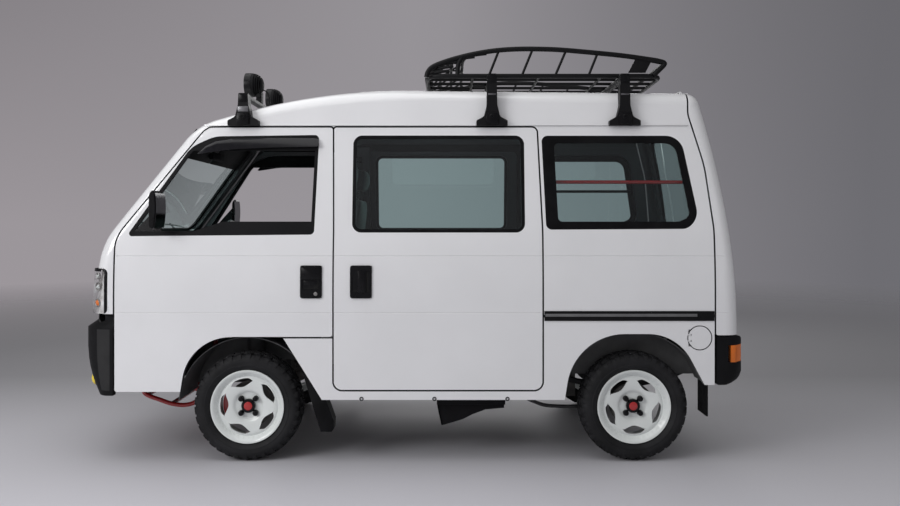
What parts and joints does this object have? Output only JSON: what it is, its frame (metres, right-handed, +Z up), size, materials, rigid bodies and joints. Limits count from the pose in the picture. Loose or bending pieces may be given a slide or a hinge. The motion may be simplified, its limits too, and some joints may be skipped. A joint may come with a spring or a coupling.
{
  "type": "kei van",
  "caption": "Small one-box light van with opening front doors, tailgate, steering, free-turning wheels, and a roof basket with lamps.",
  "frame": {"origin": "on the ground at the middle of the length and width", "axes": "+X to the rear, +Y to the car's right, +Z up"},
  "size_m": [3.296, 1.585, 2.0673],
  "materials": {
    "white_paint": "gloss",
    "chassis": "satin",
    "black_plastic": "matte",
    "grey_plastic": "matte",
    "rubber": "matte",
    "glass": "polished",
    "tinted_glass": "polished",
    "lamp_glass": "polished",
    "reflector": "polished",
    "lamp_orange": "gloss",
    "lamp_yellow": "gloss",
    "red_paint": "gloss",
    "black_steel": "satin",
    "seat_cloth": "matte",
    "cast_iron": "rough",
    "steel": "satin",
    "tyre": "matte",
    "wheel_white": "gloss"
  },
  "bodies": {
    "body": {"dashboard": "grey_plastic", "engine": "cast_iron", "exhaust": "steel", "floor": "chassis", "fog_lamps": "lamp_yellow", "front_bumper": "black_plastic", "front_seats": "seat_cloth", "front_suspension": "chassis", "fuel_tank": "chassis", "headlamp_housings": "reflector", "headlamp_lenses": "lamp_glass", "mud_flaps": "rubber", "nose_panel": "white_paint", "rear_axle": "chassis", "rear_bumper": "black_plastic", "rear_seat": "seat_cloth", "roof_bars": "black_steel", "roof_basket": "black_steel", "roof_lamps": "black_plastic", "roof_panel": "white_paint", "side_panel_left": "white_paint", "side_panel_right": "white_paint", "side_windows": "tinted_glass", "sliding_door_fittings": "black_plastic", "sliding_door_left": "white_paint", "sliding_door_right": "white_paint", "tail_lamps": "lamp_orange", "under_guard": "red_paint", "wheel_housings": "black_plastic", "window_seals": "rubber", "windscreen": "glass"},
    "front_door_left": {"front_door_left": "white_paint", "door_trim_left": "black_plastic", "door_mirror_left": "black_plastic"},
    "front_door_right": {"front_door_right": "white_paint", "door_trim_right": "black_plastic", "door_mirror_right": "black_plastic"},
    "tailgate": {"tailgate": "white_paint", "tailgate_glass": "tinted_glass", "tailgate_seal": "rubber"},
    "fuel_flap": {"fuel_flap": "white_paint"},
    "steering_wheel": {"steering_wheel": "grey_plastic"},
    "knuckle_left": {"knuckle_left": "cast_iron", "caliper_left": "red_paint"},
    "knuckle_right": {"knuckle_right": "cast_iron", "caliper_right": "red_paint"},
    "wheel_front_left": {"wheel_front_left": "wheel_white", "tyre_front_left": "tyre", "hub_front_left": "cast_iron"},
    "wheel_front_right": {"wheel_front_right": "wheel_white", "tyre_front_right": "tyre", "hub_front_right": "cast_iron"},
    "wheel_rear_left": {"wheel_rear_left": "wheel_white", "tyre_rear_left": "tyre", "hub_rear_left": "cast_iron"},
    "wheel_rear_right": {"wheel_rear_right": "wheel_white", "tyre_rear_right": "tyre", "hub_rear_right": "cast_iron"}
  },
  "joints": [
    {"name": "front_door_left_hinge", "type": "hinge", "parent": "body", "child": "front_door_left", "pos_m": [-1.391, -0.6915, 0.7], "axis": [0, 0, -1], "range_deg": [0, 65]},
    {"name": "front_door_right_hinge", "type": "hinge", "parent": "body", "child": "front_door_right", "pos_m": [-1.391, 0.6915, 0.7], "axis": [0, 0, 1], "range_deg": [0, 65]},
    {"name": "tailgate_hinge", "type": "hinge", "parent": "body", "child": "tailgate", "pos_m": [1.393, 0, 1.852], "axis": [0, -1, 0], "range_deg": [0, 80]},
    {"name": "fuel_flap_hinge", "type": "hinge", "parent": "body", "child": "fuel_flap", "pos_m": [1.354, -0.692, 0.609], "axis": [0, 0, -1], "range_deg": [0, 100]},
    {"name": "steer_left", "type": "hinge", "parent": "body", "child": "knuckle_left", "pos_m": [-0.812, -0.47, 0.3], "axis": [0, 0, 1], "range_deg": [-32, 32]},
    {"name": "steer_right", "type": "hinge", "parent": "body", "child": "knuckle_right", "pos_m": [-0.812, 0.47, 0.3], "axis": [0, 0, 1], "range_deg": [-32, 32]},
    {"name": "steering_wheel_turn", "type": "hinge", "parent": "body", "child": "steering_wheel", "pos_m": [-1.05, 0.33, 1.03], "axis": [0.8, 0, 0.6], "range_deg": [-480, 480]},
    {"name": "wheel_front_left_spin", "type": "hinge", "parent": "knuckle_left", "child": "wheel_front_left", "pos_m": [-0.812, -0.6025, 0.266], "axis": [0, -1, 0], "continuous": true},
    {"name": "wheel_front_right_spin", "type": "hinge", "parent": "knuckle_right", "child": "wheel_front_right", "pos_m": [-0.812, 0.6025, 0.266], "axis": [0, -1, 0], "continuous": true},
    {"name": "wheel_rear_left_spin", "type": "hinge", "parent": "body", "child": "wheel_rear_left", "pos_m": [1.088, -0.6025, 0.266], "axis": [0, -1, 0], "continuous": true},
    {"name": "wheel_rear_right_spin", "type": "hinge", "parent": "body", "child": "wheel_rear_right", "pos_m": [1.088, 0.6025, 0.266], "axis": [0, -1, 0], "continuous": true}
  ],
  "couplings": [
    {"joint": "steer_right", "follows": "steer_left", "ratio": 1},
    {"joint": "steering_wheel_turn", "follows": "steer_left", "ratio": 15}
  ]
}
